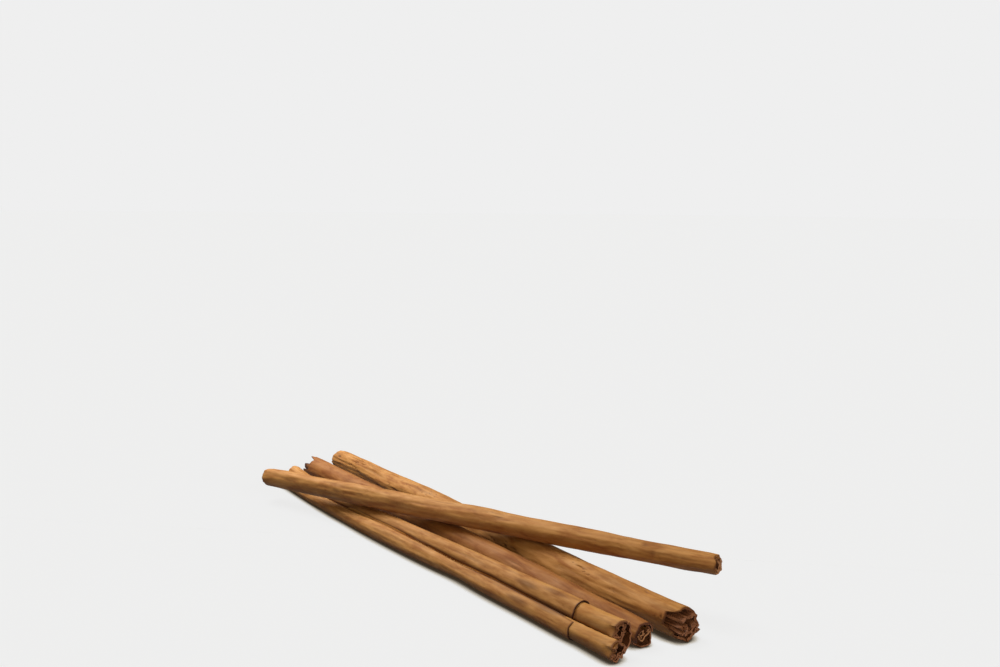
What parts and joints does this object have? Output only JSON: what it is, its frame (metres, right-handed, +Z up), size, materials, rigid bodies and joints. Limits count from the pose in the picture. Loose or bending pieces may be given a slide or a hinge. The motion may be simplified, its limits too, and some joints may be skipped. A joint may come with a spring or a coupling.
{
  "type": "cinnamon stick stack",
  "caption": "Loose stack of long cinnamon sticks: rolled tan and red-brown bark quills lying side by side with one laid across them, inner rolls showing at the broken ends.",
  "frame": {"origin": "on the surface that the stack lies on, under the middle of the stack's box", "axes": "+X along the three lower sticks, towards the end where all of them finish together; +Y from the front stick to the back stick; +Z up"},
  "size_m": [0.2686, 0.0806, 0.0252],
  "materials": {
    "tan_bark": "dry matte bark, fine grain along the stick",
    "red_bark": "dry matte red-brown bark",
    "pale_inner_bark": "smooth dry inner bark",
    "dark_inner_bark": "rough broken dark inner bark"
  },
  "bodies": {
    "root": {"stick_front": "tan_bark", "stick_front_core": "pale_inner_bark", "stick_middle": "red_bark", "stick_middle_core": "pale_inner_bark", "stick_back": "tan_bark", "stick_back_core": "dark_inner_bark", "stick_back_strip": "dark_inner_bark", "stick_top": "tan_bark"}
  },
  "joints": []
}
